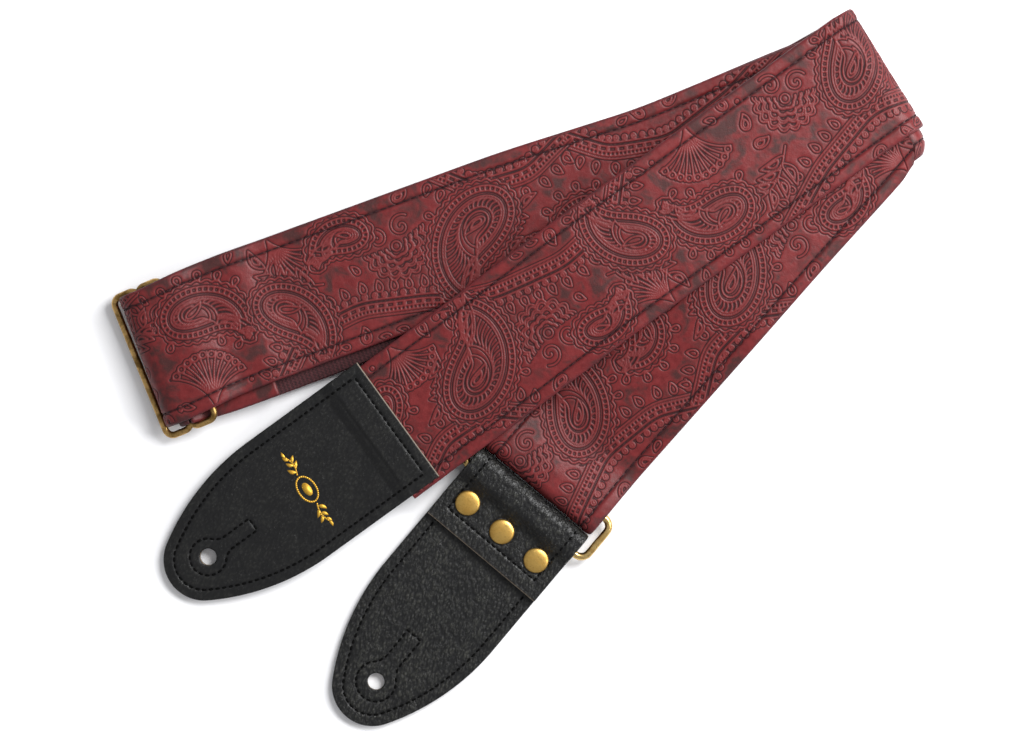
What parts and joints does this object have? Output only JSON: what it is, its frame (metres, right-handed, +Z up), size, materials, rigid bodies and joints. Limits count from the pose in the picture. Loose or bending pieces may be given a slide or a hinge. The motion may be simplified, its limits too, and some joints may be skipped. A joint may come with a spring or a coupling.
{
  "type": "guitar strap",
  "caption": "Two inch embossed strap folded into a bundle, with a slider for length, a rectangular ring and two button-hole end tabs.",
  "frame": {"origin": "on the surface it lies on, under the middle of its box", "axes": "+X and +Y in the plane of the bundle, +X along its longest side, +Z up through the plies"},
  "size_m": [0.2988, 0.2641, 0.0166],
  "materials": {
    "strap_leather": "embossed paisley, semi-gloss",
    "strap_webbing": "woven backing",
    "tab_leather": "black grained, satin",
    "tab_core": "cut edge",
    "antique_brass": "antique, worn",
    "brass_wire": "polished",
    "rivet_brass": "satin dome"
  },
  "bodies": {
    "bundle": {"backing_bottom_run": "strap_webbing", "backing_lower_run_under": "strap_webbing", "backing_lower_run_upper": "strap_webbing", "backing_middle_run_under": "strap_webbing", "backing_middle_run_upper": "strap_webbing", "backing_ring_turn": "strap_webbing", "backing_sewn_loop": "strap_webbing", "backing_sewn_tail": "strap_webbing", "backing_side_fold_inner": "strap_webbing", "backing_side_fold_outer": "strap_webbing", "backing_slider_turn": "strap_webbing", "backing_top_fold": "strap_webbing", "face_bottom_run": "strap_leather", "face_lower_run_under": "strap_leather", "face_lower_run_upper": "strap_leather", "face_middle_run_under": "strap_leather", "face_middle_run_upper": "strap_leather", "face_ring_turn": "strap_leather", "face_sewn_loop": "strap_leather", "face_sewn_tail": "strap_leather", "face_side_fold_inner": "strap_leather", "face_side_fold_outer": "strap_leather", "face_slider_turn": "strap_leather", "face_top_fold": "strap_leather"},
    "top_run": {"backing_top_run": "strap_webbing", "face_top_run": "strap_leather", "tab_a_core": "tab_core", "tab_a_lower_ply": "tab_leather", "tab_a_upper_ply": "tab_leather"},
    "ring": {"ring": "brass_wire"},
    "tab_b": {"rivet_base_1": "rivet_brass", "rivet_base_2": "rivet_brass", "rivet_base_3": "rivet_brass", "rivet_cap_1": "rivet_brass", "rivet_cap_2": "rivet_brass", "rivet_cap_3": "rivet_brass", "tab_b_core": "tab_core", "tab_b_lower_ply": "tab_leather", "tab_b_upper_ply": "tab_leather"},
    "slider": {"slider": "antique_brass"}
  },
  "joints": [
    {"name": "top_run_unfold", "type": "hinge", "parent": "bundle", "child": "top_run", "pos_m": [0.12852, 0.10582, 0.0166], "axis": [-0.527, 0.8499, 0], "range_deg": [0, 120]},
    {"name": "ring_swing", "type": "hinge", "parent": "bundle", "child": "ring", "pos_m": [0.01282, -0.03918, 0.0045], "axis": [-0.7663, 0.6424, 0], "range_deg": [0, 6]},
    {"name": "tab_b_swing", "type": "hinge", "parent": "ring", "child": "tab_b", "pos_m": [0.00177, -0.05236, 0.0045], "axis": [-0.7663, 0.6424, 0], "range_deg": [0, 95]},
    {"name": "slider_tilt", "type": "hinge", "parent": "bundle", "child": "slider", "pos_m": [-0.12968, 0.00342, 0.00665], "axis": [0.3778, -0.9259, 0], "range_deg": [-2.5, 2.5]}
  ]
}
